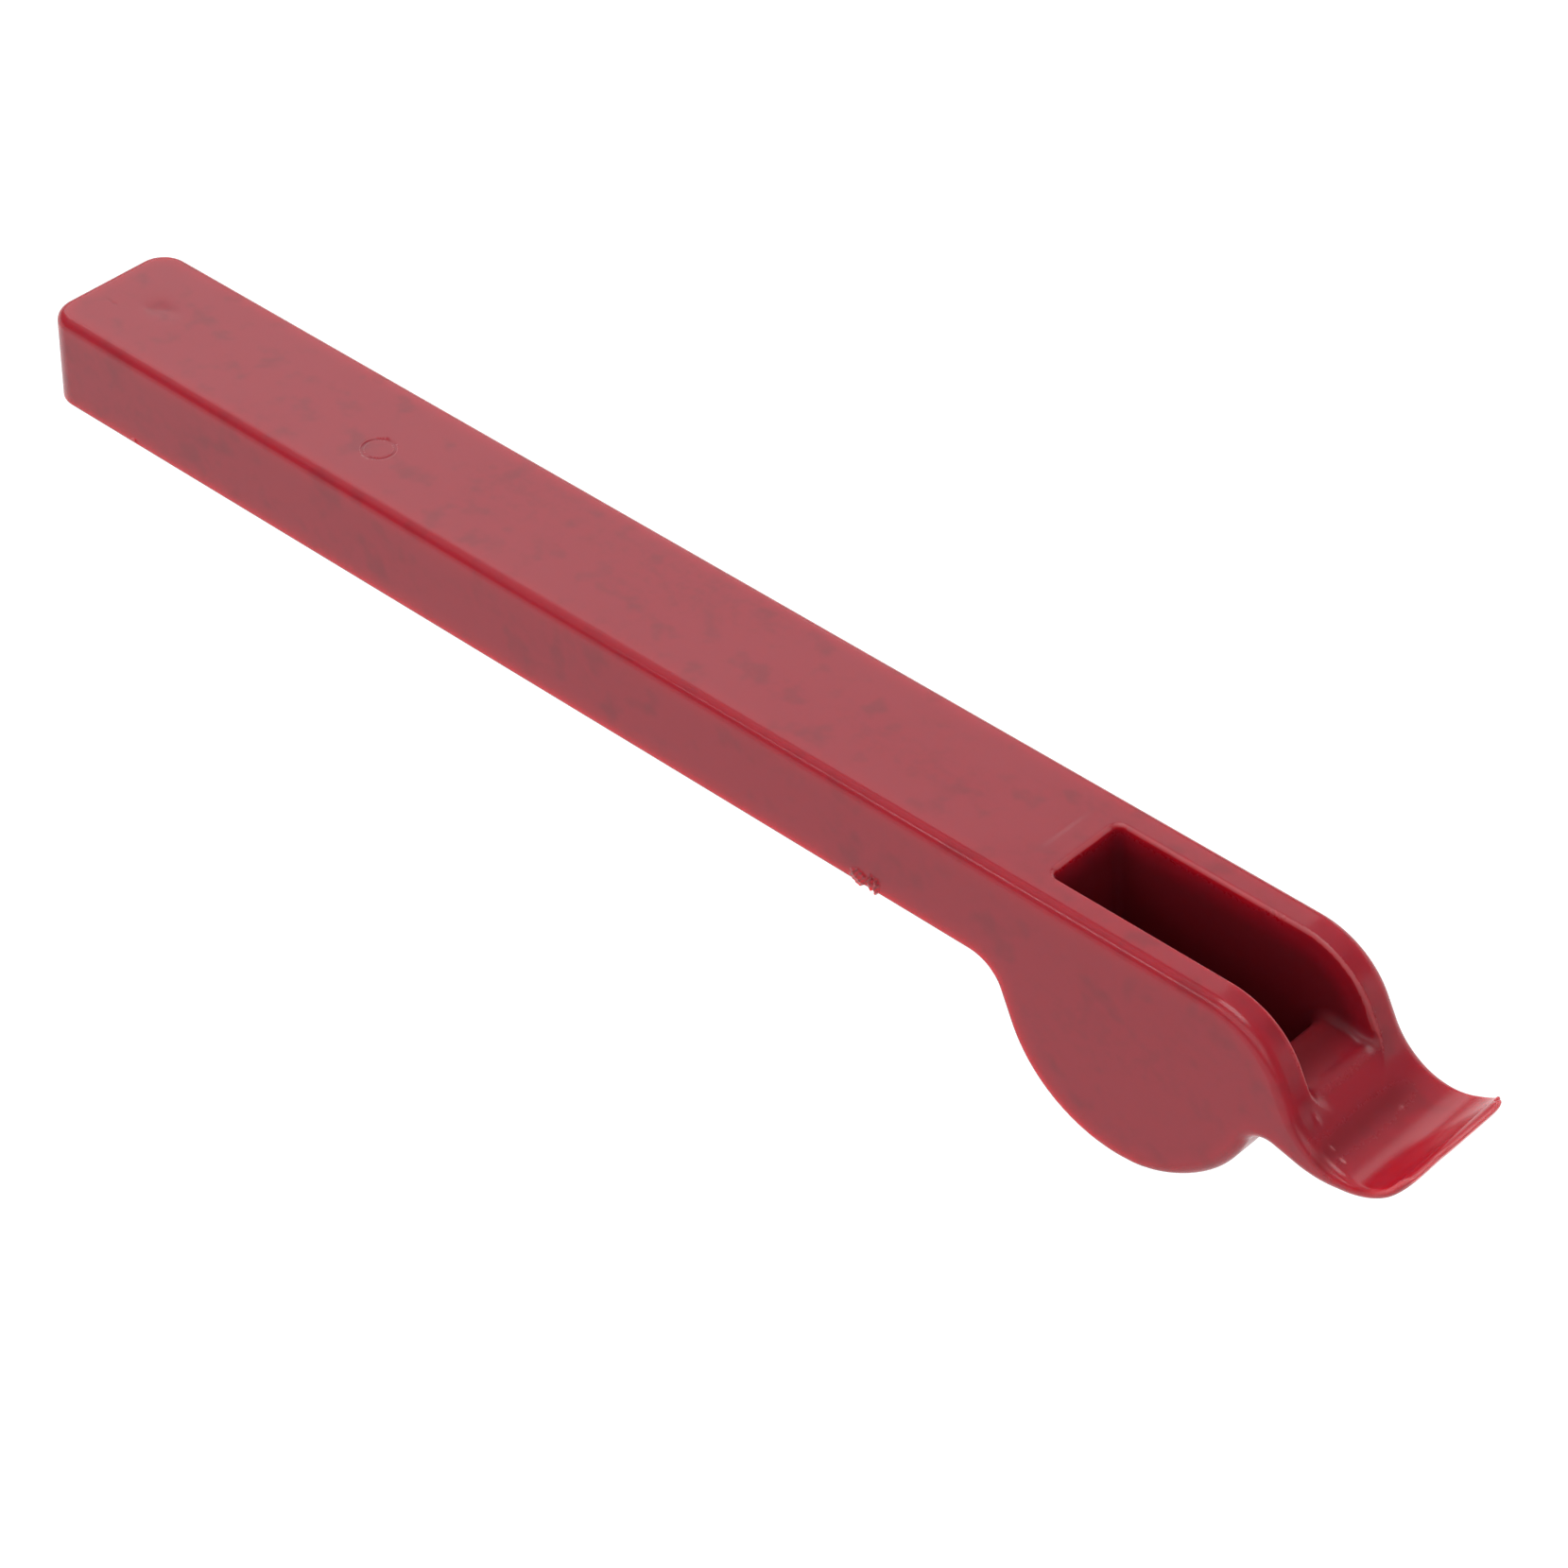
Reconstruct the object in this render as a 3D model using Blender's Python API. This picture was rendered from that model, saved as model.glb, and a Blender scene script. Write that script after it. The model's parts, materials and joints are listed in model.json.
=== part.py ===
"""Prying lever for opening beehives: one injection moulding in satin red plastic.

A square-sided handle runs into a head with an open pocket. A round fulcrum lobe hangs below the
head, and a thin curled lip, which hooks under a lid or frame, reaches out in front of it.

The body is drawn in the handle's own frame: x runs from the rear end towards the lip, y across the
width, z up, with z = 0 on the handle's flat underside. It is then tilted so that it lies as it
would on a table, on the rear end's lower edge and on the lobe, centred on the world's origin.
"""

import math

import bmesh
import bpy
from mathutils import Matrix, Vector

MM = 0.001

# Handle
WIDTH = 20.0 * MM
HANDLE_HEIGHT = 12.58 * MM
REAR_CORNER_RADIUS = 3.9 * MM

# Rounding of the upper side's edges, and of the under side's, where the mould parts
EDGE_ROUND = 1.45 * MM
UNDER_ROUND = 0.4 * MM

# Upper side of the head: down a rounded shoulder into the lip's trough, then up to its tip
SHOULDER_X = 181.8 * MM
SHOULDER_RADIUS = 11.3 * MM
SHOULDER_TURN = 61.0
SHOULDER_SLOPE = 3.0 * MM
TROUGH_REAR_RADIUS = 9.2 * MM
TROUGH_REAR_TURN = 57.6
TROUGH_FRONT_RADIUS = 6.7 * MM
TROUGH_FRONT_TURN = 63.4
TIP_SLOPE = 1.2 * MM

# Under side of the head: into the lobe, round it, through the notch and out along the lip
ROOT_X = 150.0 * MM
ROOT_RADIUS = 5.2 * MM
ROOT_TURN = 63.8
ROOT_SLOPE = 4.2 * MM
LOBE_RADIUS = 17.05 * MM
LOBE_TURN = 136.8
NOTCH_RADIUS = 3.0 * MM
NOTCH_TURN = 86.0
NOTCH_SLOPE = 2.9 * MM
BELLY_RADIUS = 12.9 * MM
BELLY_TURN = 55.0
LIP_FRONT_RADIUS = 12.4 * MM
LIP_FRONT_TURN = 22.0
TIP_CORNER_RADIUS = 3.0 * MM

# Pocket in the head, open upwards and towards the lip, with a rear wall that leans back by its draft
POCKET_WIDTH = 11.7 * MM
POCKET_CORNER_RADIUS = 1.2 * MM
POCKET_DRAFT = 5.8
POCKET_END_X = 200.0 * MM
POCKET_TOP_Z = 20.0 * MM
LOBE_WALL = 3.55 * MM
SILL_ROUND = 2.3 * MM

# Where the rounding of the upper edges starts to shrink with the thinning lip
LIP_ROUND_START_X = 196.0 * MM
LIP_ROUND_END_X = 206.0 * MM
LIP_ROUND_AT_TIP = 0.25

ARC_STEP = 6.0
ROUND_SEGMENTS = 4
CORNER_SEGMENTS = 6
SHARP_ANGLE = 50.0
SMOOTH_ANGLE = 40.0
FACING_DOWN = -0.1
CLEARANCE = 0.1 * MM

RED = (0.31, 0.028, 0.04, 1.0)
ROUGHNESS = 0.38


def clear_scene():
    for obj in list(bpy.data.objects):
        bpy.data.objects.remove(obj)


def walk(start, heading, steps):
    """Points of a path of lines and arcs, from start along heading in degrees.

    A step is ("line", length) or ("arc", radius, turn), where a positive turn goes left.
    """
    points = [Vector(start)]
    for kind, size, *rest in steps:
        if kind == "line":
            angle = math.radians(heading)
            points.append(points[-1] + size * Vector((math.cos(angle), math.sin(angle))))
            continue
        turn = rest[0]
        side = math.copysign(1.0, turn)
        pieces = max(2, round(abs(turn) / ARC_STEP))
        first = math.radians(heading)
        centre = points[-1] + side * size * Vector((-math.sin(first), math.cos(first)))
        for piece in range(1, pieces + 1):
            angle = math.radians(heading + turn * piece / pieces)
            points.append(centre + side * size * Vector((math.sin(angle), -math.cos(angle))))
        heading += turn
    return points


def top_line():
    """The head's upper side, from the shoulder to the tip."""
    return walk(
        (SHOULDER_X, HANDLE_HEIGHT),
        0.0,
        [
            ("arc", SHOULDER_RADIUS, -SHOULDER_TURN),
            ("line", SHOULDER_SLOPE),
            ("arc", TROUGH_REAR_RADIUS, TROUGH_REAR_TURN),
            ("arc", TROUGH_FRONT_RADIUS, TROUGH_FRONT_TURN),
            ("line", TIP_SLOPE),
        ],
    )


def bottom_line():
    """The head's under side, from the handle to the tip."""
    return walk(
        (ROOT_X, 0.0),
        0.0,
        [
            ("arc", ROOT_RADIUS, -ROOT_TURN),
            ("line", ROOT_SLOPE),
            ("arc", LOBE_RADIUS, LOBE_TURN),
            ("arc", NOTCH_RADIUS, -NOTCH_TURN),
            ("line", NOTCH_SLOPE),
            ("arc", BELLY_RADIUS, BELLY_TURN),
            ("arc", LIP_FRONT_RADIUS, LIP_FRONT_TURN),
        ],
    )


def lobe_centre():
    """The middle of the lobe's circle, which is also the middle of the pocket's round floor."""
    start = walk((ROOT_X, 0.0), 0.0, [("arc", ROOT_RADIUS, -ROOT_TURN), ("line", ROOT_SLOPE)])[-1]
    angle = math.radians(-ROOT_TURN)
    return start + LOBE_RADIUS * Vector((-math.sin(angle), math.cos(angle)))


def body_outline():
    """The side view, counter-clockwise from the rear end's lower corner."""
    rear = [Vector((0.0, 0.0))]
    rear_top = [Vector((0.0, HANDLE_HEIGHT))]
    return rear + bottom_line() + list(reversed(top_line())) + rear_top


def pocket_outline():
    """The side view of the space inside the pocket, counter-clockwise from its upper rear corner.

    The rear wall runs down into a round floor, concentric with the lobe. The floor rises to a
    rounded sill, and from there the pocket runs level out over the lip.
    """
    radius = LOBE_RADIUS - LOBE_WALL
    heading = -90.0 + POCKET_DRAFT
    angle = math.radians(heading)
    floor_start = lobe_centre() + radius * Vector((math.sin(angle), -math.cos(angle)))
    rise = POCKET_TOP_Z - floor_start.y
    upper = floor_start + rise * Vector((-math.tan(math.radians(POCKET_DRAFT)), 1.0))
    floor = walk(floor_start, heading, [("arc", radius, 90.0 - heading), ("arc", SILL_ROUND, -90.0)])
    end = [Vector((POCKET_END_X, floor[-1].y)), Vector((POCKET_END_X, POCKET_TOP_Z))]
    return [upper] + floor + end


def tip_outline():
    """The plan view of what is cut away round the lip's two front corners, as (x, y) points."""
    tip_x = max(point.x for point in body_outline()) + CLEARANCE
    start_x = tip_x - TIP_CORNER_RADIUS
    side = WIDTH / 2
    corner = ("arc", TIP_CORNER_RADIUS, 90.0)
    front = ("line", WIDTH - 2 * TIP_CORNER_RADIUS)
    inner = walk((start_x, -side), 0.0, [corner, front, corner])
    out_x = tip_x + TIP_CORNER_RADIUS
    out_y = side + TIP_CORNER_RADIUS
    outer = [(start_x, out_y), (out_x, out_y), (out_x, -out_y), (start_x, -out_y)]
    return inner + [Vector(point) for point in outer]


def prism(name, outline, width):
    """A closed mesh: the outline of (x, z) points stretched along y, centred on y = 0."""
    bm = bmesh.new()
    loop = [bm.verts.new((point.x, -width / 2, point.y)) for point in outline]
    face = bm.faces.new(loop)
    copy = bmesh.ops.extrude_face_region(bm, geom=[face], use_keep_orig=True)
    moved = [item for item in copy["geom"] if isinstance(item, bmesh.types.BMVert)]
    bmesh.ops.translate(bm, verts=moved, vec=(0.0, width, 0.0))
    bmesh.ops.recalc_face_normals(bm, faces=bm.faces)
    mesh = bpy.data.meshes.new(name)
    bm.to_mesh(mesh)
    bm.free()
    obj = bpy.data.objects.new(name, mesh)
    bpy.context.collection.objects.link(obj)
    return obj


def rear_corner_edges(bm, top, bottom):
    """The two edges of the rear wall that run up it, between the (x, z) points bottom and top."""
    ends = (top, bottom)
    found = []
    for edge in bm.edges:
        a, b = (vert.co for vert in edge.verts)
        if abs(a.y - b.y) > CLEARANCE:
            continue
        reaches = [min((Vector((co.x, co.z)) - end).length for co in (a, b)) for end in ends]
        if max(reaches) < CLEARANCE:
            found.append(edge)
    return found


def round_rear_corners(obj, top, bottom, radius):
    bm = bmesh.new()
    bm.from_mesh(obj.data)
    bmesh.ops.bevel(
        bm,
        geom=rear_corner_edges(bm, top, bottom),
        offset=radius,
        segments=CORNER_SEGMENTS,
        profile=0.5,
        affect="EDGES",
    )
    bm.to_mesh(obj.data)
    bm.free()


def rounding_share(edge):
    """How much of the full edge rounding an edge gets: less on the thin lip and on the under side."""
    if min(face.normal.z for face in edge.link_faces) < FACING_DOWN:
        return UNDER_ROUND / EDGE_ROUND
    middle = (edge.verts[0].co.x + edge.verts[1].co.x) / 2
    along = (middle - LIP_ROUND_START_X) / (LIP_ROUND_END_X - LIP_ROUND_START_X)
    along = min(1.0, max(0.0, along))
    return 1.0 + (LIP_ROUND_AT_TIP - 1.0) * along


def round_long_edges(obj):
    """A Bevel modifier on every sharp edge, weighted with the edge's share of the rounding."""
    mesh = obj.data
    bm = bmesh.new()
    bm.from_mesh(mesh)
    weights = bm.edges.layers.float.new("bevel_weight_edge")
    for edge in bm.edges:
        if edge.calc_face_angle() > math.radians(SHARP_ANGLE):
            edge[weights] = rounding_share(edge)
    bm.to_mesh(mesh)
    bm.free()
    bevel = obj.modifiers.new("edge_round", "BEVEL")
    bevel.limit_method = "WEIGHT"
    bevel.width = EDGE_ROUND
    bevel.segments = ROUND_SEGMENTS
    bevel.use_clamp_overlap = False


def cut(obj, cutter):
    boolean = obj.modifiers.new(cutter.name, "BOOLEAN")
    boolean.operation = "DIFFERENCE"
    boolean.solver = "EXACT"
    boolean.object = cutter
    cutter.hide_render = True
    cutter.display_type = "WIRE"


def red_plastic():
    material = bpy.data.materials.new("red_plastic")
    material.use_nodes = True
    shader = material.node_tree.nodes["Principled BSDF"]
    shader.inputs["Base Color"].default_value = RED
    shader.inputs["Roughness"].default_value = ROUGHNESS
    shader.inputs["Metallic"].default_value = 0.0
    return material


def resting_tilt():
    """The angle that sets the rear end's lower edge and the lobe on one level."""
    lobe = lobe_centre()
    rear = Vector((UNDER_ROUND, UNDER_ROUND))
    gap = lobe - rear
    return math.asin((LOBE_RADIUS - UNDER_ROUND) / gap.length) - math.atan2(gap.y, gap.x)


def lay_down(objects):
    """Tilts the objects to their resting place and centres them on the origin."""
    tilt = resting_tilt()
    forward = Vector((math.cos(tilt), -math.sin(tilt)))
    upward = Vector((math.sin(tilt), math.cos(tilt)))
    rear_round = Vector((EDGE_ROUND, HANDLE_HEIGHT - EDGE_ROUND))
    rearmost = rear_round.dot(forward) - EDGE_ROUND
    foremost = max(point.dot(forward) for point in body_outline())
    lowest = lobe_centre().dot(upward) - LOBE_RADIUS
    for obj in objects:
        obj.rotation_euler = (0.0, -tilt, 0.0)
        obj.location = (-(rearmost + foremost) / 2, 0.0, -lowest)


def make_body():
    body = prism("moulded_body", body_outline(), WIDTH)
    top = Vector((0.0, HANDLE_HEIGHT))
    round_rear_corners(body, top, Vector((0.0, 0.0)), REAR_CORNER_RADIUS)
    round_long_edges(body)
    body.data.materials.append(red_plastic())
    return body


def make_pocket_cutter():
    outline = pocket_outline()
    cutter = prism("pocket_cutter", outline, POCKET_WIDTH)
    round_rear_corners(cutter, outline[0], outline[1], POCKET_CORNER_RADIUS)
    return cutter


def make_tip_cutter():
    cutter = prism("tip_cutter", tip_outline(), 2 * POCKET_TOP_Z)
    cutter.data.transform(Matrix.Rotation(math.radians(90.0), 4, "X"))
    return cutter


def build():
    clear_scene()
    body = make_body()
    cutters = [make_pocket_cutter(), make_tip_cutter()]
    for cutter in cutters:
        cut(body, cutter)
    body.data.shade_smooth()
    body.data.set_sharp_from_angle(angle=math.radians(SMOOTH_ANGLE))
    lay_down([body] + cutters)


build()
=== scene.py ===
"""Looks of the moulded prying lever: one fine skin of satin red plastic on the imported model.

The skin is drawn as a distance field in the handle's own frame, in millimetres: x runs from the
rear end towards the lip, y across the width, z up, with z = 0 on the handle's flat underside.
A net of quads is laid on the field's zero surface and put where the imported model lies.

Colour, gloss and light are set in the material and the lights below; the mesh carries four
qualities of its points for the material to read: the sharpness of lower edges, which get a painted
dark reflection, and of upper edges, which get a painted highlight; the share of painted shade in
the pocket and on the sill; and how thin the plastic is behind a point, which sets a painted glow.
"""

import json
import math
from typing import NamedTuple

import bmesh
import bpy
import numpy as np
from mathutils import Matrix, Vector


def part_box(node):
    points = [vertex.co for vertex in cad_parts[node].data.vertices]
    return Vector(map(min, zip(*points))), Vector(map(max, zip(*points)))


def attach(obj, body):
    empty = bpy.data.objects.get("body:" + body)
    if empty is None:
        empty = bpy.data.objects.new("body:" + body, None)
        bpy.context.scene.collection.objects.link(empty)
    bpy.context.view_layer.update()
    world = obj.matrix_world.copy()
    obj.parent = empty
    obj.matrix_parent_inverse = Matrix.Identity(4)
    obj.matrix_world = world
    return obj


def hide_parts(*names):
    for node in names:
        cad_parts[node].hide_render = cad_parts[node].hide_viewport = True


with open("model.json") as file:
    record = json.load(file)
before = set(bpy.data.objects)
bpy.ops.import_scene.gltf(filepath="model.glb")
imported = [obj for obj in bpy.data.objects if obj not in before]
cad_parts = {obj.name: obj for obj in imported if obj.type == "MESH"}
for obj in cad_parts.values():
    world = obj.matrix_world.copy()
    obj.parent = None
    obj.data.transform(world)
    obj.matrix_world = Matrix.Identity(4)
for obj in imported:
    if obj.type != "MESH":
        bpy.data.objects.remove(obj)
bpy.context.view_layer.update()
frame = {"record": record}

MM = 0.001
NODE = "moulded_body"

# Handle
WIDTH = 20.0
HANDLE_HEIGHT = 12.58
REAR_CORNER_RADIUS = 3.9
REAR_REACH = 20.0

# Rounding of the upper side's edges, and of the under side's, where the mould parts. The latter
# grows over the lobe's front and stays larger under the lip. Between the two sides, the rounding
# changes over this much difference in their distances.
EDGE_ROUND = 1.45
UNDER_ROUND = 0.4
LIP_UNDER_ROUND = 1.2
LOBE_FRONT_X = (174.0, 184.0)
SIDES_BLEND = 0.8

# Upper side of the head: down a rounded shoulder into the lip's trough, then up to its tip
SHOULDER_X = 181.8
SHOULDER = [
    ("arc", 11.3, -61.0),
    ("line", 3.0),
    ("arc", 9.2, 57.6),
    ("arc", 6.7, 63.4),
    ("arc", 2.0, -40.0),
]

# Under side of the head: into the lobe, round it, through the notch and out along the lip
ROOT_X = 150.0
LOBE_RADIUS = 17.05
ROOT = [("arc", 5.2, -63.8), ("line", 4.2)]
LOBE = [("arc", LOBE_RADIUS, 136.8)]
NOTCH_AND_LIP = [("arc", 3.0, -86.0), ("line", 2.9), ("arc", 12.9, 55.0), ("arc", 12.4, 22.0)]

# The lip's end in plan, with its near and far corners and a worn hollow (middle y, half width,
# depth), and where its edges' rounding shrinks with its thickness
TIP_X = 208.6
TIP_NEAR_RADIUS = 2.6
TIP_FAR_RADIUS = 5.0
TIP_HOLLOW = (-3.6, 1.6, 0.22)
LIP_THINS_X = (197.0, 206.5)
TIP_EDGE_ROUND = 0.5

# Pocket in the head, open upwards and towards the lip. The drafts are in degrees.
POCKET_WIDTH = 11.7
POCKET_DRAFT = 5.8
POCKET_SIDE_DRAFT = 0.4
POCKET_CORNER_RADIUS = 1.2
LOBE_WALL = 3.55
SILL_ROUND = 2.3
OPEN_ABOVE = 8.0
OPEN_AHEAD = 12.0

# The groove across the sill: its middle, half length, depth, and where it fades out sideways
GROOVE_X = 191.6
GROOVE_HALF = 1.1
GROOVE_DEPTH = 0.24
GROOVE_ENDS_Y = (4.4, 5.8)

# Rounding of the pocket's rims, and of the crest between the pocket and the lip, which takes over
# along CREST_X and fades back to the rims along CREST_Y
RIM_ROUND = 0.45
CREST_ROUND = 2.0
CREST_X = (188.0, 193.0)
CREST_Y = (3.6, 6.6)

# What the mould left behind. The pin mark on top: its middle, radius, how far the disc lies below
# the face, the depth and half width of the groove round it, and the heights that it starts between
PIN_MARK = (50.4, -1.7)
PIN_RADIUS = 2.0
PIN_SINK = 0.03
PIN_GROOVE_DEPTH = 0.09
PIN_GROOVE = 0.17
PIN_Z = (8.0, 10.0)

# Shallow dents on the upper side, or raised specks where the depth is negative: x, y, half length,
# half width and depth
DENTS = [
    (10.7, 0.5, 1.9, 1.1, 0.20),
    (9.4, -0.7, 1.2, 0.7, 0.08),
    (153.6, 1.0, 0.18, 3.4, 0.03),
    (4.9, -3.0, 1.1, 0.14, 0.05),
    (194.8, -6.8, 0.5, 0.35, -0.10),
    (197.6, -7.5, 0.45, 0.2, -0.09),
    (199.2, -7.7, 0.5, 0.18, -0.08),
    (198.9, 3.0, 0.35, 0.25, -0.08),
    (207.4, 7.7, 0.22, 0.55, 0.28),
]

# Torn plastic of the gate and a crumb of flash on the near lower edge: middle, then half sizes
CRUMBS = [
    ((134.2, -9.90, 0.95), (1.25, 0.46, 1.05)),
    ((135.85, -9.92, 1.10), (0.36, 0.40, 1.10)),
    ((136.7, -9.88, 1.10), (0.48, 0.52, 1.25)),
    ((15.8, -9.75, 0.6), (0.34, 0.42, 0.4)),
]
CRUMB_BLEND = 0.12

# The sharpness of the under side's edges and of the upper side's, which the material reads to paint
# a dark reflection on the lower edges and a highlight on the upper ones: full on edges of this radius
LOWER_EDGE_SHADE = "lower_edge_shade"
UPPER_EDGE_HIGHLIGHT = "upper_edge_highlight"
SHARPEST_RADIUS = 0.4

# Painted shade: how far the plastic's colour is darkened and its gloss lowered to stand in for shade.
# In the pocket it grows with the depth below the rims, and is at least FRONT_SHADE on the front
# stretch of the walls.
PAINTED_SHADE = "painted_shade"
PAINTED_SHADE_DEPTH = 4.5
FRONT_SHADE = 0.45
FRONT_SHADE_X = (174.0, 184.0)

# Painted shade across the sill: from and to x, share, and where it fades out sideways; and at the
# foot of the slope after it: middle x, half length, share, and where it fades out towards the far side
SILL_SHADE = (189.3, 194.0, 0.85)
SILL_SHADE_Y = (4.0, 7.0)
SLOPE_FOOT = (197.6, 1.3, 0.6)
SLOPE_FOOT_Y = (3.0, 8.5)

# Painted glow: how thin the plastic is behind a point, where a brighter red is painted for light let
# through thin edges. It counts less on the lip, which is thin all over.
PAINTED_GLOW = "painted_glow"
THIN_REACH = 3.5
LIP_START_X = (186.0, 198.0)
THIN_LIP_LESS = 0.85

# Where the net is made finer for these: lowest and highest corners
FINE_BOXES = [
    ((47.8, -4.2, 11.9), (53.0, 0.8, 13.4)),
    ((7.0, -2.6, 11.9), (13.2, 2.6, 13.4)),
    ((3.4, -4.0, 11.9), (6.4, -2.0, 13.4)),
    ((132.4, -10.8, -0.9), (138.6, -9.0, 2.9)),
    ((15.0, -10.6, -0.6), (16.6, -9.2, 1.4)),
    ((193.8, -8.6, -1.6), (200.2, -6.0, 2.4)),
    ((198.0, 2.2, -1.6), (199.8, 3.8, 1.4)),
    ((206.2, 6.4, -0.1), (208.9, 8.8, 5.4)),
]


# ---------------------------------------------------------------- outlines


class Piece(NamedTuple):
    """A straight or round piece of an outline. A straight one has no radius and no turn."""

    start: tuple
    end: tuple
    centre: tuple = (0.0, 0.0)
    radius: float = 0.0
    turn: float = 0.0


def path(start, heading, steps):
    """The pieces that steps draw from start along heading, in degrees; a positive turn goes left."""
    pieces = []
    x, z = start
    for kind, size, *rest in steps:
        angle = math.radians(heading)
        if kind == "line":
            end = (x + size * math.cos(angle), z + size * math.sin(angle))
            pieces.append(Piece((x, z), end))
        else:
            turn = rest[0]
            side = math.copysign(size, turn)
            centre = (x - side * math.sin(angle), z + side * math.cos(angle))
            last = math.radians(heading + turn)
            end = (centre[0] + side * math.sin(last), centre[1] - side * math.cos(last))
            pieces.append(Piece((x, z), end, centre, size, turn))
            heading += turn
        x, z = end
    return pieces


def polyline(*points):
    return [Piece(a, b) for a, b in zip(points, points[1:])]


def line_distance(x, z, piece):
    (ax, az), (bx, bz) = piece.start, piece.end
    dx, dz = bx - ax, bz - az
    along = np.clip(((x - ax) * dx + (z - az) * dz) / (dx * dx + dz * dz), 0.0, 1.0)
    return np.hypot(x - ax - along * dx, z - az - along * dz)


def arc_distance(x, z, piece):
    cx, cz = piece.centre
    first = math.atan2(piece.start[1] - cz, piece.start[0] - cx)
    half = math.radians(piece.turn) / 2
    middle = first + half
    off = np.arctan2(z - cz, x - cx) - middle
    off = np.abs((off + math.pi) % (2 * math.pi) - math.pi)
    to_ends = np.minimum(
        np.hypot(x - piece.start[0], z - piece.start[1]),
        np.hypot(x - piece.end[0], z - piece.end[1]),
    )
    return np.where(off <= abs(half), np.abs(np.hypot(x - cx, z - cz) - piece.radius), to_ends)


def crosses(x, z, piece):
    """Whether a ray from the point along +x crosses the piece's chord."""
    (ax, az), (bx, bz) = piece.start, piece.end
    if az == bz:
        return np.zeros(np.broadcast(x, z).shape, bool)
    return ((az > z) != (bz > z)) & (x < ax + (bx - ax) * (z - az) / (bz - az))


def between_chord_and_arc(x, z, piece):
    (ax, az), (bx, bz) = piece.start, piece.end
    beyond = ((bx - ax) * (z - az) - (bz - az) * (x - ax)) * piece.turn < 0
    return beyond & (np.hypot(x - piece.centre[0], z - piece.centre[1]) < piece.radius)


def piece_distance(x, z, piece):
    return arc_distance(x, z, piece) if piece.radius else line_distance(x, z, piece)


def outline_distance(x, z, *parts):
    """Signed distance to a closed outline in one or more parts, negative inside it.

    The distance to each part comes after it, without a sign.
    """
    inside = np.zeros(np.broadcast(x, z).shape, bool)
    apart = []
    for pieces in parts:
        distance = np.inf
        for piece in pieces:
            inside = inside ^ crosses(x, z, piece)
            if piece.radius:
                inside = inside ^ between_chord_and_arc(x, z, piece)
            distance = np.minimum(distance, piece_distance(x, z, piece))
        apart.append(distance)
    nearest = np.minimum.reduce(apart)
    return np.where(inside, -nearest, nearest), *apart


def side_outline():
    """The side view in three parts: the under side, the upper side and the two ends.

    The rear end is drawn far back, because the plan view gives the rear end.
    """
    rear = -REAR_REACH
    under = path((rear, 0.0), 0.0, [("line", ROOT_X - rear)] + ROOT + LOBE + NOTCH_AND_LIP)
    upper = path((rear, HANDLE_HEIGHT), 0.0, [("line", SHOULDER_X - rear)] + SHOULDER)
    tip = polyline(under[-1].end, upper[-1].end)
    back = polyline((rear, 0.0), (rear, HANDLE_HEIGHT))
    return under, upper, tip + back


def lobe_centre():
    return path((ROOT_X, 0.0), 0.0, ROOT + LOBE)[-1].centre


def pocket_outline():
    """The side view of the space inside the pocket, and level on from its sill over the lip."""
    radius = LOBE_RADIUS - LOBE_WALL
    heading = -90.0 + POCKET_DRAFT
    angle = math.radians(heading)
    cx, cz = lobe_centre()
    start = (cx + radius * math.sin(angle), cz - radius * math.cos(angle))
    top_z = HANDLE_HEIGHT + OPEN_ABOVE
    upper = (start[0] - (top_z - start[1]) * math.tan(math.radians(POCKET_DRAFT)), top_z)
    floor = path(start, heading, [("arc", radius, 90.0 - heading), ("arc", SILL_ROUND, -90.0)])
    sill_z = floor[-1].end[1]
    out_x = GROOVE_X + OPEN_AHEAD
    rest = polyline(floor[-1].end, (out_x, sill_z), (out_x, top_z), upper, start)
    return floor + rest


SIDE_OUTLINE = side_outline()
POCKET_OUTLINE = pocket_outline()


# ---------------------------------------------------------------- the distance field


def smooth_step(value, low, high):
    share = np.clip((value - low) / (high - low), 0.0, 1.0)
    return share * share * (3.0 - 2.0 * share)


def both(a, b, radius):
    """The space inside both of two surfaces, with the edge where they meet rounded."""
    a = a + radius
    b = b + radius
    return np.minimum(np.maximum(a, b), 0.0) + np.hypot(np.maximum(a, 0.0), np.maximum(b, 0.0)) - radius


def plan_distance(x, y):
    """The view from above: straight sides, with rounded corners at the rear end and the tip."""
    side = np.abs(y) - WIDTH / 2
    rear = both(-x, side, REAR_CORNER_RADIUS)
    hollow_y, half_width, depth = TIP_HOLLOW
    end = x - TIP_X + depth * np.exp(-(((y - hollow_y) / half_width) ** 2))
    corner = np.where(y < 0.0, TIP_NEAR_RADIUS, TIP_FAR_RADIUS)
    return np.maximum(rear, both(end, side, corner))


def body_distance(x, y, z):
    outline, under, upper, _ = outline_distance(x, z, *SIDE_OUTLINE)
    radius = EDGE_ROUND + (TIP_EDGE_ROUND - EDGE_ROUND) * smooth_step(x, *LIP_THINS_X)
    lower = UNDER_ROUND + (LIP_UNDER_ROUND - UNDER_ROUND) * smooth_step(x, *LOBE_FRONT_X)
    lower = np.minimum(lower, radius)
    radius = lower + (radius - lower) * smooth_step(under - upper, -SIDES_BLEND, SIDES_BLEND)
    return both(outline, plan_distance(x, y), radius)


def pocket_distance(x, y, z):
    draft = (HANDLE_HEIGHT - z) * math.tan(math.radians(POCKET_SIDE_DRAFT))
    side = np.abs(y) - POCKET_WIDTH / 2 + draft
    return both(outline_distance(x, z, POCKET_OUTLINE)[0], side, POCKET_CORNER_RADIUS)


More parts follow.
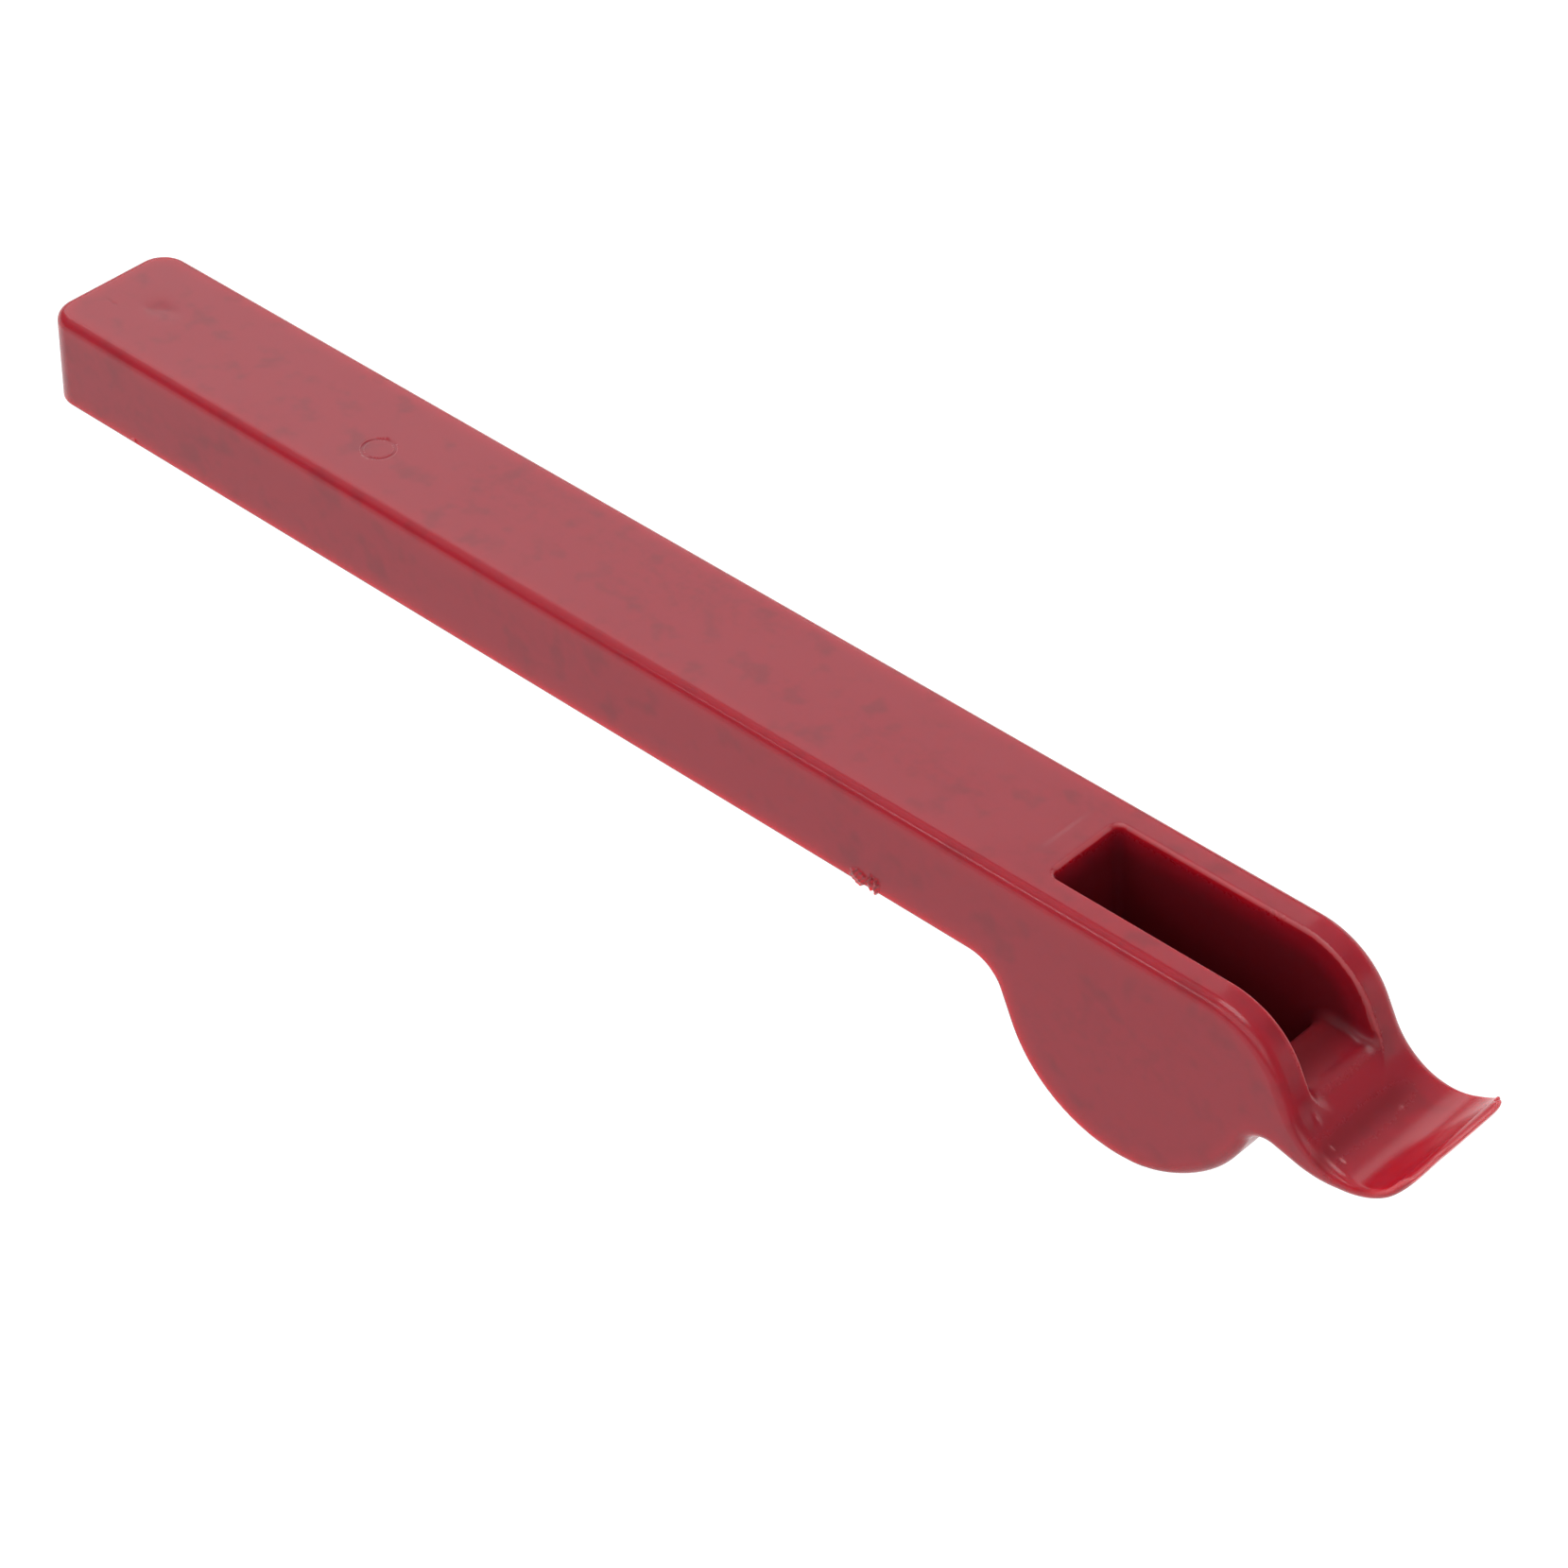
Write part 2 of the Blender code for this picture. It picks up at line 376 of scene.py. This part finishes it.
def rim_radius(x, y):
    """The rounding where the pocket opens: small on the rims, large on the crest before the lip."""
    middle = 1.0 - smooth_step(np.abs(y), *CREST_Y)
    return RIM_ROUND + (CREST_ROUND - RIM_ROUND) * middle * smooth_step(x, *CREST_X)


def groove_depth(x, y):
    """How far the groove across the sill lies below it."""
    within = 1.0 - smooth_step(np.abs(y), *GROOVE_ENDS_Y)
    return GROOVE_DEPTH * np.exp(-(((x - GROOVE_X) / GROOVE_HALF) ** 2)) * within


def top_height(x):
    """Height of the upper side at x, measured down the middle of the side view."""
    heights = np.linspace(HANDLE_HEIGHT, -6.0, 800)
    return heights[outline_distance(x, heights, *SIDE_OUTLINE)[0] < 0.0][0]


def top_height_along(x):
    """Height of the upper side at many positions."""
    stops = np.linspace(x.min(), x.max(), 400)
    heights = [top_height(min(stop, TIP_X - 1.5)) for stop in stops]
    return np.interp(x, stops, heights)


def pin_mark_depth(x, y):
    away = np.hypot(x - PIN_MARK[0], y - PIN_MARK[1]) - PIN_RADIUS
    disc = PIN_SINK * (1.0 - smooth_step(away, -0.2, 0.1))
    return disc + PIN_GROOVE_DEPTH * np.exp(-((away / PIN_GROOVE) ** 2))


def dent_depth(x, y, z):
    """How far the upper side lies below its plain shape."""
    depth = pin_mark_depth(x, y) * smooth_step(z, *PIN_Z)
    for dent_x, dent_y, length, width, deep in DENTS:
        near_top = 1.0 - smooth_step(np.abs(z - top_height(dent_x)), 1.0, 2.0)
        round_it = np.exp(-(((x - dent_x) / length) ** 2) - ((y - dent_y) / width) ** 2)
        depth = depth + deep * round_it * near_top
    return depth


def crumb_distance(x, y, z):
    """Distance from the torn plastic on the lower edge, which is lumpy all over."""
    lumps = 0.06 * np.sin(3.1 * x + 2.0 * z) * np.sin(4.1 * z - 3.0 * y) + 0.02 * np.sin(9.0 * x - 7.0 * z)
    distance = np.inf
    for (cx, cy, cz), (sx, sy, sz) in CRUMBS:
        stretched = np.sqrt(((x - cx) / sx) ** 2 + ((y - cy) / sy) ** 2 + ((z - cz) / sz) ** 2)
        distance = np.minimum(distance, (stretched - 1.0) * min(sx, sy, sz))
    return distance + lumps


def lever_distance(x, y, z):
    """Distance from the plastic's surface, negative inside the plastic."""
    body = body_distance(x, y, z) + dent_depth(x, y, z)
    body = -both(-body, -crumb_distance(x, y, z), CRUMB_BLEND)
    return both(body, groove_depth(x, y) - pocket_distance(x, y, z), rim_radius(x, y))


# ---------------------------------------------------------------- the net of quads


def planes(start, *runs):
    """Grid positions from start on, each run as (end, largest step)."""
    stops = [start]
    for end, step in runs:
        count = math.ceil((end - stops[-1]) / step - 1e-6)
        stops += list(np.linspace(stops[-1], end, count + 1)[1:])
    return np.array(stops)


def mirrored(values):
    return np.concatenate([-values[:0:-1], values])


X_PLANES = planes(
    -0.7, (4.6, 0.33), (47.6, 1.3), (53.2, 0.22), (132.0, 1.6), (139.0, 0.35), (149.0, 0.9),
    (156.2, 0.45), (160.0, 0.3), (184.0, 0.5), (190.0, 0.38), (194.4, 0.2), (209.6, 0.3),
)
Y_PLANES = mirrored(planes(0.0, (4.8, 0.6), (6.9, 0.26), (8.4, 0.4), (9.4, 0.3), (10.8, 0.2)))
Z_PLANES = planes(-17.0, (-4.0, 0.45), (-0.6, 0.3), (0.6, 0.2), (5.6, 0.3), (10.8, 0.5), (13.1, 0.28))


def grid_values():
    x = X_PLANES[:, None, None]
    y = Y_PLANES[None, :, None]
    z = Z_PLANES[None, None, :]
    return lever_distance(x, y, z)


def net_corners(values):
    """The cells that the surface passes through, and in each the mean of its edges' crossings."""
    inside = values < 0.0
    shape = np.array(values.shape) - 1
    corners = [np.array(c) for c in np.ndindex(2, 2, 2)]
    count = sum(
        inside[a : a + shape[0], b : b + shape[1], c : c + shape[2]].astype(np.int8)
        for a, b, c in corners
    )
    cells = np.argwhere((count > 0) & (count < 8))
    stops = (X_PLANES, Y_PLANES, Z_PLANES)
    total = np.zeros((len(cells), 3))
    found = np.zeros(len(cells))
    for low in corners:
        for axis in range(3):
            if low[axis]:
                continue
            a = cells + low
            b = a.copy()
            b[:, axis] += 1
            value_a = values[tuple(a.T)]
            value_b = values[tuple(b.T)]
            cut = (value_a < 0.0) != (value_b < 0.0)
            share = np.where(cut, value_a / np.where(cut, value_a - value_b, 1.0), 0.0)
            points = np.stack([stops[k][a[:, k]] for k in range(3)], axis=1)
            points[:, axis] += share * (stops[axis][b[:, axis]] - stops[axis][a[:, axis]])
            total += np.where(cut[:, None], points, 0.0)
            found += cut
    return cells, total / found[:, None]


def net_quads(values, cells):
    """One quad round each grid edge that the surface cuts, facing out of the plastic."""
    inside = values < 0.0
    number = np.full(np.array(values.shape) - 1, -1, np.int64)
    number[tuple(cells.T)] = np.arange(len(cells))
    quads = []
    for axis in range(3):
        ahead = [slice(None)] * 3
        behind = [slice(None)] * 3
        ahead[axis] = slice(1, None)
        behind[axis] = slice(None, -1)
        leaving = inside[tuple(behind)] & ~inside[tuple(ahead)]
        entering = ~inside[tuple(behind)] & inside[tuple(ahead)]
        u, v = (axis + 1) % 3, (axis + 2) % 3
        for edges, turn in ((np.argwhere(leaving), 1), (np.argwhere(entering), -1)):
            ring = []
            for du, dv in ((1, 1), (0, 1), (0, 0), (1, 0))[::turn]:
                cell = edges.copy()
                cell[:, u] -= du
                cell[:, v] -= dv
                ring.append(number[tuple(cell.T)])
            quads.append(np.stack(ring, axis=1))
    return np.concatenate(quads)


def gradient(points):
    reach = 0.02
    slope = np.empty_like(points)
    for axis in range(3):
        step = np.zeros(3)
        step[axis] = reach
        ahead = lever_distance(*(points + step).T)
        behind = lever_distance(*(points - step).T)
        slope[:, axis] = (ahead - behind) / (2.0 * reach)
    return slope


def onto_surface(points, rounds):
    for _ in range(rounds):
        slope = gradient(points)
        steep = np.maximum((slope**2).sum(axis=1), 0.1)
        points = points - slope * (lever_distance(*points.T) / steep)[:, None]
    return points


def relaxed(points, quads):
    """Each point moved towards the middle of its neighbours."""
    total = np.zeros_like(points)
    count = np.zeros(len(points))
    for a, b in ((0, 1), (1, 2), (2, 3), (3, 0)):
        for here, there in ((a, b), (b, a)):
            for axis in range(3):
                total[:, axis] += np.bincount(quads[:, here], points[quads[:, there], axis], len(points))
            count += np.bincount(quads[:, here], minlength=len(points))
    return points + 0.5 * (total / count[:, None] - points)


def net():
    values = grid_values()
    cells, points = net_corners(values)
    quads = net_quads(values, cells)
    points = onto_surface(points, 2)
    for _ in range(2):
        points = onto_surface(relaxed(points, quads), 1)
    return points, quads


def in_fine_box(points):
    inside = np.zeros(len(points), bool)
    for low, high in FINE_BOXES:
        inside |= ((points > low) & (points < high)).all(axis=1)
    return inside


def refine(mesh):
    """Cut the net finer round the small marks, and lay the new points on the surface."""
    work = bmesh.new()
    work.from_mesh(mesh)
    points = np.array([vertex.co for vertex in work.verts])
    fine = in_fine_box(points)
    edges = [edge for edge in work.edges if fine[edge.verts[0].index] and fine[edge.verts[1].index]]
    bmesh.ops.subdivide_edges(work, edges=edges, cuts=2, use_grid_fill=True)
    work.to_mesh(mesh)
    work.free()
    points = mesh_points(mesh)
    fine = in_fine_box(points)
    points[fine] = onto_surface(points[fine], 2)
    mesh.vertices.foreach_set("co", points.ravel())


def mesh_points(mesh):
    points = np.empty(len(mesh.vertices) * 3)
    mesh.vertices.foreach_get("co", points)
    return points.reshape(-1, 3)


def edge_sharpness(points):
    """How sharp the under side's and the upper side's edges are: 0 on flat and hollow stretches."""
    x, _, z = points.T
    _, under, upper, _ = outline_distance(x, z, *SIDE_OUTLINE)
    reach = 0.12
    bend = -6.0 * lever_distance(*points.T)
    for step in np.vstack([np.eye(3), -np.eye(3)]) * reach:
        bend += lever_distance(*(points + step).T)
    sharpness = np.clip(bend / reach**2 * SHARPEST_RADIUS, 0.0, 1.0)
    above = smooth_step(under - upper, -1.0, 1.0)
    return sharpness * (1.0 - above), sharpness * above


# ---------------------------------------------------------------- placing it in the row's frame


def placement():
    """From the handle's frame, in millimetres, to the row's frame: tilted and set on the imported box."""
    axis = next(m for m in frame["record"]["mounts"] if m["name"] == "handle_top")["axis"]
    tilt = math.atan2(-axis[0], axis[2])
    forward = Vector((math.cos(tilt), -math.sin(tilt)))
    upward = Vector((math.sin(tilt), math.cos(tilt)))
    low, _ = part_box(NODE)
    rearmost = Vector((EDGE_ROUND, HANDLE_HEIGHT - EDGE_ROUND)).dot(forward) - EDGE_ROUND
    lowest = Vector(lobe_centre()).dot(upward) - LOBE_RADIUS
    shift = Vector((low.x - rearmost * MM, 0.0, low.z - lowest * MM))
    turn = Matrix.Rotation(-tilt, 4, "Y")
    return Matrix.Translation(shift) @ turn @ Matrix.Scale(MM, 4)


PLACE = placement()


def painted_shade(points):
    """Share of painted shade at each point: along the pocket's walls, on the sill and at the slope's foot.
    """
    x, y, z = points.T
    within = 1.0 - smooth_step(pocket_distance(x, y, z), 0.1, 0.7)
    below = smooth_step(-outline_distance(x, z, *SIDE_OUTLINE)[0], -0.2, PAINTED_SHADE_DEPTH)
    below = within * np.maximum(below, FRONT_SHADE * smooth_step(x, *FRONT_SHADE_X))
    first_x, last_x, share = SILL_SHADE
    sill = share * smooth_step(x, first_x - 1.0, first_x) * (1.0 - smooth_step(x, last_x - 1.0, last_x))
    sill = sill * (1.0 - smooth_step(np.abs(y), *SILL_SHADE_Y))
    foot_x, half_length, share = SLOPE_FOOT
    foot = share * np.exp(-(((x - foot_x) / half_length) ** 2)) * (1.0 - smooth_step(y, *SLOPE_FOOT_Y))
    upper_side = 1.0 - smooth_step(top_height_along(x) - z, 0.5, 1.5)
    return np.maximum(below, np.maximum(sill, foot) * upper_side)


def painted_glow(points, normals, painted_shade_share):
    """Share of painted glow at each point, from how near another face lies behind it: 0 in thick plastic,
    1 on the thinnest edges; less under painted shade and on the lip.
    """
    behind = points - THIN_REACH * normals
    share = np.clip(1.0 + body_distance(*behind.T) / THIN_REACH, 0.0, 1.0)
    on_lip = smooth_step(points[:, 0], *LIP_START_X)
    return share**2 * (1.0 - np.clip(painted_shade_share, 0.0, 1.0)) * (1.0 - THIN_LIP_LESS * on_lip)


def make_skin():
    points, quads = net()
    mesh = bpy.data.meshes.new("lever_skin")
    mesh.from_pydata(points.tolist(), [], quads.tolist())
    refine(mesh)
    mesh.shade_smooth()
    points = mesh_points(mesh)
    normals = gradient(points)
    normals /= np.linalg.norm(normals, axis=1)[:, None]
    # Shares of painted shade, of the edges' painted dark reflection and painted highlight, and of the
    # painted glow on thin plastic
    painted_shade_share = painted_shade(points)
    lower_edge_shade, upper_edge_highlight = edge_sharpness(points)
    qualities = {
        LOWER_EDGE_SHADE: lower_edge_shade,
        UPPER_EDGE_HIGHLIGHT: upper_edge_highlight,
        PAINTED_SHADE: painted_shade_share,
        PAINTED_GLOW: painted_glow(points, normals, painted_shade_share),
    }
    for name, values in qualities.items():
        mesh.attributes.new(name, "FLOAT", "POINT").data.foreach_set("value", values)
    mesh.transform(PLACE)
    turn = np.array(PLACE.to_3x3().normalized())
    mesh.normals_split_custom_set_from_vertices((normals @ turn.T).tolist())
    skin = bpy.data.objects.new("lever_skin", mesh)
    bpy.context.scene.collection.objects.link(skin)
    return skin


# ---------------------------------------------------------------- materials


class Nodes:
    """Short forms for laying out a material's nodes."""

    def __init__(self, name):
        self.material = bpy.data.materials.new(name)
        self.material.use_nodes = True
        self.tree = self.material.node_tree
        self.shader = self.tree.nodes["Principled BSDF"]

    def add(self, kind, **settings):
        node = self.tree.nodes.new(kind)
        for name, value in settings.items():
            setattr(node, name, value)
        return node

    def feed(self, source, target):
        """Links a socket, or sets a plain value."""
        if isinstance(source, bpy.types.NodeSocket):
            self.tree.links.new(source, target)
        else:
            target.default_value = source

    def math(self, operation, *values):
        node = self.add("ShaderNodeMath", operation=operation)
        for value, socket in zip(values, node.inputs):
            self.feed(value, socket)
        return node.outputs[0]

    def noise(self, place, size, detail=2.0, roughness=0.5):
        """Noise from 0 to 1 whose patches are about size across."""
        node = self.add("ShaderNodeTexNoise")
        self.feed(place, node.inputs["Vector"])
        node.inputs["Scale"].default_value = 1.0 / size
        node.inputs["Detail"].default_value = detail
        node.inputs["Roughness"].default_value = roughness
        return node.outputs["Fac"]

    def ramp(self, value, low, high, start=0.0, end=1.0):
        """Value from low to high brought smoothly to start to end."""
        node = self.add("ShaderNodeMapRange", interpolation_type="SMOOTHSTEP")
        for source, socket in zip((value, low, high, start, end), node.inputs):
            self.feed(source, socket)
        return node.outputs[0]

    def mix(self, share, first, second):
        node = self.add("ShaderNodeMix", data_type="RGBA")
        self.feed(share, node.inputs[0])
        self.feed(first, node.inputs[6])
        self.feed(second, node.inputs[7])
        return node.outputs[2]


# Colours of the plastic: its own red, a duller red in its mottling, a dark red for the painted
# reflection on lower edges, a darker red for painted shade, a brighter red for a painted glow on thin
# edges, and a pale red: a painted highlight on the pocket's rims, and paler on the lip's front
RED = (0.265, 0.0070, 0.018, 1.0)
DULL_RED = (0.215, 0.0070, 0.0165, 1.0)
LOWER_EDGE_SHADE_RED = (0.105, 0.020, 0.026, 1.0)
PAINTED_SHADE_RED = (0.13, 0.006, 0.010, 1.0)
PAINTED_GLOW_RED = (0.42, 0.008, 0.018, 1.0)
PALE_RED = (0.50, 0.20, 0.21, 1.0)

# How much of the painted glow on thin edges, of the painted highlight on the rims and of the paler lip
# front is mixed in, and where the lip's front starts
PAINTED_GLOW_SHARE = 0.45
RIM_HIGHLIGHT_SHARE = 0.28
LIP_FRONT_PALE = 0.45
LIP_FRONT_X = (207.9, 208.5)

# How far light goes into the plastic, in metres, and how much of that green and blue go
GLOW_DEPTH = 0.006
GLOW_RADIUS = (1.0, 0.06, 0.08)

# The gloss: most roughness in the open, what painted shade adds, and the reflection's strength in
# the open and under full painted shade
MOST_ROUGH = 0.265
PAINTED_SHADE_ROUGH = 0.22
REFLECTION = (0.36, 0.12)

# Sizes of the mottling's patches: long flow lines, blotches, mottle, grain and the face's waviness
FLOW_SIZE = 9.0
FLOW_SHORTER = (0.45, 1.0, 1.0)
BLOTCH_SIZE = 4.2
MOTTLE_SIZE = 1.6
GRAIN_SIZE = 0.45
WAVE_SIZE = 7.0


def handle_place(nodes):
    """Texture coordinates in the handle's own frame, in millimetres."""
    where = nodes.add("ShaderNodeTexCoord").outputs["Object"]
    mapping = nodes.add("ShaderNodeMapping", vector_type="TEXTURE")
    location, rotation, scale = PLACE.decompose()
    nodes.feed(where, mapping.inputs["Vector"])
    nodes.feed(location, mapping.inputs["Location"])
    nodes.feed(rotation.to_euler(), mapping.inputs["Rotation"])
    nodes.feed(scale, mapping.inputs["Scale"])
    return mapping.outputs[0]


def quality(nodes, name):
    """A quality of the skin's points, as make_skin wrote it."""
    return nodes.add("ShaderNodeAttribute", attribute_name=name).outputs["Fac"]


def red_plastic():
    nodes = Nodes("satin_red_plastic")
    shader = nodes.shader
    place = handle_place(nodes)
    stretched = nodes.add("ShaderNodeMapping")
    nodes.feed(place, stretched.inputs["Vector"])
    stretched.inputs["Scale"].default_value = FLOW_SHORTER
    flow = nodes.noise(stretched.outputs[0], FLOW_SIZE, 3.0, 0.55)
    blotches = nodes.noise(place, BLOTCH_SIZE, 2.0, 0.5)
    mottle = nodes.noise(place, MOTTLE_SIZE, 3.0, 0.6)
    grain = nodes.noise(place, GRAIN_SIZE, 2.0, 0.5)
    patches = nodes.math("MULTIPLY", nodes.ramp(flow, 0.42, 0.66), nodes.ramp(mottle, 0.40, 0.68))
    patches = nodes.math("MAXIMUM", nodes.math("MULTIPLY", patches, 0.5), nodes.ramp(blotches, 0.50, 0.74))
    painted_shade_share = quality(nodes, PAINTED_SHADE)

    colour = nodes.mix(patches, RED, DULL_RED)
    # Painted shade: darker red in the pocket, on the sill and at the slope's foot
    colour = nodes.mix(painted_shade_share, colour, PAINTED_SHADE_RED)
    # Painted glow: brighter red on thin edges, standing in for light let through
    colour = nodes.mix(nodes.math("MULTIPLY", quality(nodes, PAINTED_GLOW), PAINTED_GLOW_SHARE), colour, PAINTED_GLOW_RED)
    # Painted dark reflection of the shaded table on the lower edges, varied by the mottle
    lower_edge_dark = nodes.math("MULTIPLY", quality(nodes, LOWER_EDGE_SHADE), nodes.ramp(mottle, 0.30, 0.70, 0.55, 0.9))
    colour = nodes.mix(lower_edge_dark, colour, LOWER_EDGE_SHADE_RED)
    # Painted highlight: pale red on the pocket's rims and other sharp upper edges
    rims = nodes.ramp(quality(nodes, UPPER_EDGE_HIGHLIGHT), 0.4, 0.85, 0.0, RIM_HIGHLIGHT_SHARE)
    colour = nodes.mix(rims, colour, PALE_RED)
    # Paler red towards the lip's front face
    along = nodes.add("ShaderNodeSeparateXYZ")
    nodes.feed(place, along.inputs[0])
    front = nodes.ramp(along.outputs[0], *LIP_FRONT_X, 0.0, LIP_FRONT_PALE)
    colour = nodes.mix(front, colour, PALE_RED)
    nodes.feed(colour, shader.inputs["Base Color"])

    rough = nodes.ramp(flow, 0.3, 0.7, 0.205, 0.25)
    rough = nodes.math("ADD", rough, nodes.math("MULTIPLY", patches, 0.03))
    rough = nodes.math("ADD", rough, nodes.ramp(grain, 0.2, 0.8, -0.02, 0.03))
    rough = nodes.math("MINIMUM", rough, MOST_ROUGH)
    rough = nodes.math("ADD", rough, nodes.math("MULTIPLY", painted_shade_share, PAINTED_SHADE_ROUGH))
    nodes.feed(rough, shader.inputs["Roughness"])
    nodes.feed(nodes.ramp(painted_shade_share, 0.0, 1.0, *REFLECTION), shader.inputs["Specular IOR Level"])

    height = nodes.math("MULTIPLY", nodes.noise(place, WAVE_SIZE, 1.0), 0.010)
    height = nodes.math("ADD", height, nodes.math("MULTIPLY", mottle, 0.0035))
    height = nodes.math("ADD", height, nodes.math("MULTIPLY", grain, 0.0010))
    bump = nodes.add("ShaderNodeBump")
    nodes.feed(height, bump.inputs["Height"])
    bump.inputs["Distance"].default_value = MM
    nodes.feed(bump.outputs[0], shader.inputs["Normal"])

    shader.inputs["Subsurface Weight"].default_value = 1.0
    shader.inputs["Subsurface Radius"].default_value = GLOW_RADIUS
    shader.inputs["Subsurface Scale"].default_value = GLOW_DEPTH
    return nodes.material


# A white table lit from below, which leaves only a faint shadow
FLOOR_GLOW = 1.04


def floor_paint():
    material = bpy.data.materials.new("pale_floor")
    material.use_nodes = True
    shader = material.node_tree.nodes["Principled BSDF"]
    shader.inputs["Base Color"].default_value = (0.15, 0.15, 0.15, 1.0)
    shader.inputs["Roughness"].default_value = 0.9
    shader.inputs["Specular IOR Level"].default_value = 0.0
    shader.inputs["Emission Color"].default_value = (1.0, 1.0, 1.0, 1.0)
    shader.inputs["Emission Strength"].default_value = FLOOR_GLOW
    return material


# ---------------------------------------------------------------- stage, light and camera


FLOOR_REACH = 4.0


def make_floor():
    mesh = bpy.data.meshes.new("floor")
    corners = [(x * FLOOR_REACH, y * FLOOR_REACH, 0.0) for x, y in ((-1, -1), (1, -1), (1, 1), (-1, 1))]
    mesh.from_pydata(corners, [], [(0, 1, 2, 3)])
    floor = bpy.data.objects.new("floor", mesh)
    mesh.materials.append(floor_paint())
    bpy.context.scene.collection.objects.link(floor)
    return floor


# The soft boxes: name, azimuth and elevation in degrees (azimuth 0 is +y and 90 is +x), size in metres,
# brightness of the panel
BOX_DISTANCE = 0.7
SOFT_BOXES = [
    ("back_left_box", 305.0, 30.0, (0.65, 0.40), 1.68),
    ("back_box", 345.0, 38.0, (0.40, 0.35), 0.10),
    ("high_back_box", 0.0, 52.0, (0.50, 0.26), 0.30),
    ("far_box", 20.0, 16.0, (0.90, 0.34), 0.79),
    ("left_box", 262.0, 50.0, (0.60, 0.40), 0.73),
    ("front_box", 160.0, 40.0, (0.90, 0.50), 1.40),
    ("front_strip", 209.0, 35.5, (0.26, 0.05), 9.0),
    ("top_box", 0.0, 88.0, (0.40, 0.40), 4.65),
]
WORLD_STRENGTH = 0.395


def soft_box(name, azimuth, elevation, size, brightness):
    azimuth, elevation = math.radians(azimuth), math.radians(elevation)
    towards = Vector(
        (
            math.sin(azimuth) * math.cos(elevation),
            math.cos(azimuth) * math.cos(elevation),
            math.sin(elevation),
        )
    )
    data = bpy.data.lights.new(name, "AREA")
    data.shape = "RECTANGLE"
    data.size, data.size_y = size
    data.energy = math.pi * size[0] * size[1] * brightness
    light = bpy.data.objects.new(name, data)
    light.location = towards * BOX_DISTANCE
    light.rotation_euler = (-towards).to_track_quat("-Z", "Y").to_euler()
    light.visible_camera = False
    bpy.context.scene.collection.objects.link(light)


def make_world():
    world = bpy.data.worlds.new("studio")
    world.use_nodes = True
    background = world.node_tree.nodes["Background"]
    background.inputs["Color"].default_value = (1.0, 1.0, 1.0, 1.0)
    background.inputs["Strength"].default_value = WORLD_STRENGTH
    bpy.context.scene.world = world


# The camera, in the handle's frame: round the point it looks at, in radians and millimetres
CAMERA_AZIMUTH = 0.7109
CAMERA_ELEVATION = 0.6958
CAMERA_ROLL = -0.0349
CAMERA_DISTANCE = 535.92
CAMERA_TARGET = (114.198, 0.0, -3.336)
CAMERA_LENS = 107.74


def make_camera():
    azimuth, elevation = CAMERA_AZIMUTH, CAMERA_ELEVATION
    back = Vector(
        (
            math.sin(azimuth) * math.cos(elevation),
            -math.cos(azimuth) * math.cos(elevation),
            math.sin(elevation),
        )
    )
    spot = Vector(CAMERA_TARGET) + back * CAMERA_DISTANCE
    turn = (-back).to_track_quat("-Z", "Y").to_matrix() @ Matrix.Rotation(-CAMERA_ROLL, 3, "Z")
    pose = PLACE.to_3x3().normalized() @ turn
    data = bpy.data.cameras.new("camera")
    data.lens = CAMERA_LENS
    data.sensor_width = 36.0
    data.clip_start = 0.01
    data.clip_end = 20.0
    camera = bpy.data.objects.new("camera", data)
    camera.matrix_world = Matrix.Translation(PLACE @ spot) @ pose.to_4x4()
    bpy.context.scene.collection.objects.link(camera)
    bpy.context.scene.camera = camera


make_camera()
make_world()
make_floor()
for box in SOFT_BOXES:
    soft_box(*box)

skin = make_skin()
skin.data.materials.append(red_plastic())
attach(skin, "root")
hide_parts(NODE)

bpy.context.scene.view_settings.view_transform = "Standard"
